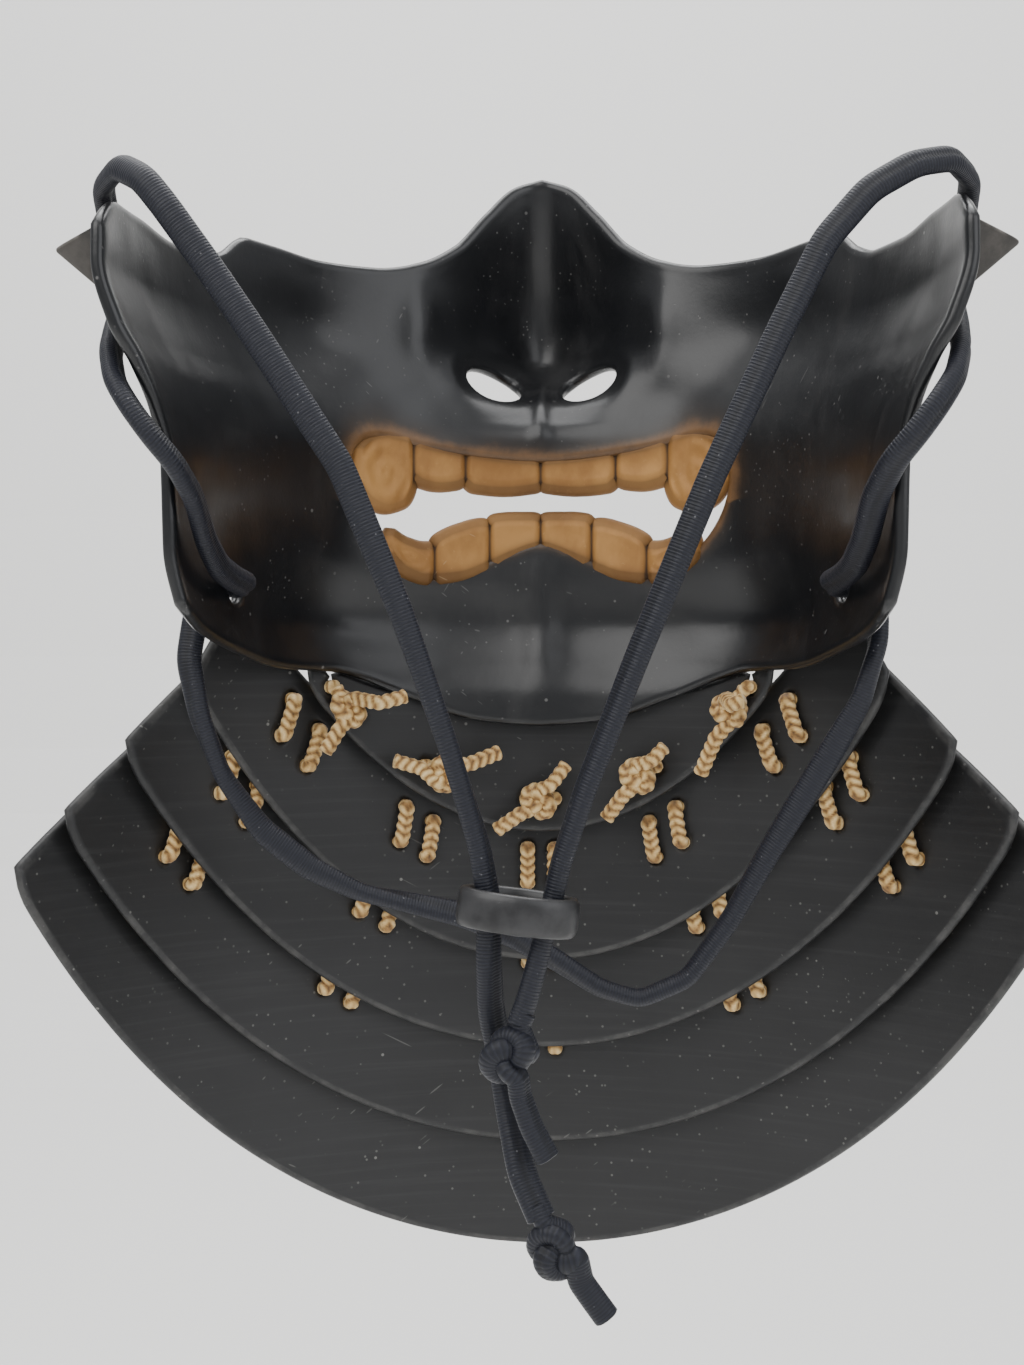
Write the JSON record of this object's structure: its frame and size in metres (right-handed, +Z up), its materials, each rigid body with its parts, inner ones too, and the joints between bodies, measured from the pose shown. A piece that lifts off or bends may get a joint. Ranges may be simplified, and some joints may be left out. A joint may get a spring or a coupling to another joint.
{
  "type": "samurai face guard",
  "caption": "Half mask of a samurai armour with gilt teeth, a laced throat guard of curved lames below it, and a black tie cord with a slide ring.",
  "frame": {"origin": "between the rows of teeth, on the wearer's lips, midway between the two sides", "axes": "+X to the wearer's right-hand side as seen from inside the mask, +Y out of the mask away from the wearer's face, +Z up towards the nose"},
  "size_m": [0.231, 0.1313, 0.273],
  "materials": {
    "shell": "satin to gloss black moulded resin, dusty and lightly scratched",
    "teeth": "matte gold-bronze paint on the moulded teeth, browner in the seams",
    "hook": "grey-brown matte folded plate",
    "lame": "satin charcoal plate with faint brushed lines and lighter bevels",
    "lacing": "pale gold herringbone braid",
    "cord": "navy-black ribbed tubular cord",
    "ring": "dark grey satin ring"
  },
  "bodies": {
    "root": {"face_shell": "shell", "upper_teeth": "teeth", "lower_teeth": "teeth", "hook_right": "hook", "hook_left": "hook", "lame_1": "lame", "lame_2": "lame", "lame_3": "lame", "lame_4": "lame", "lame_5": "lame", "lace_1": "lacing", "lace_2": "lacing", "lace_3": "lacing", "lace_4": "lacing", "lace_5": "lacing", "tie_cord_right": "cord", "tie_cord_left": "cord", "tie_cord_loop": "cord", "knot_right": "cord", "knot_left": "cord", "slide_ring": "ring"}
  },
  "joints": []
}
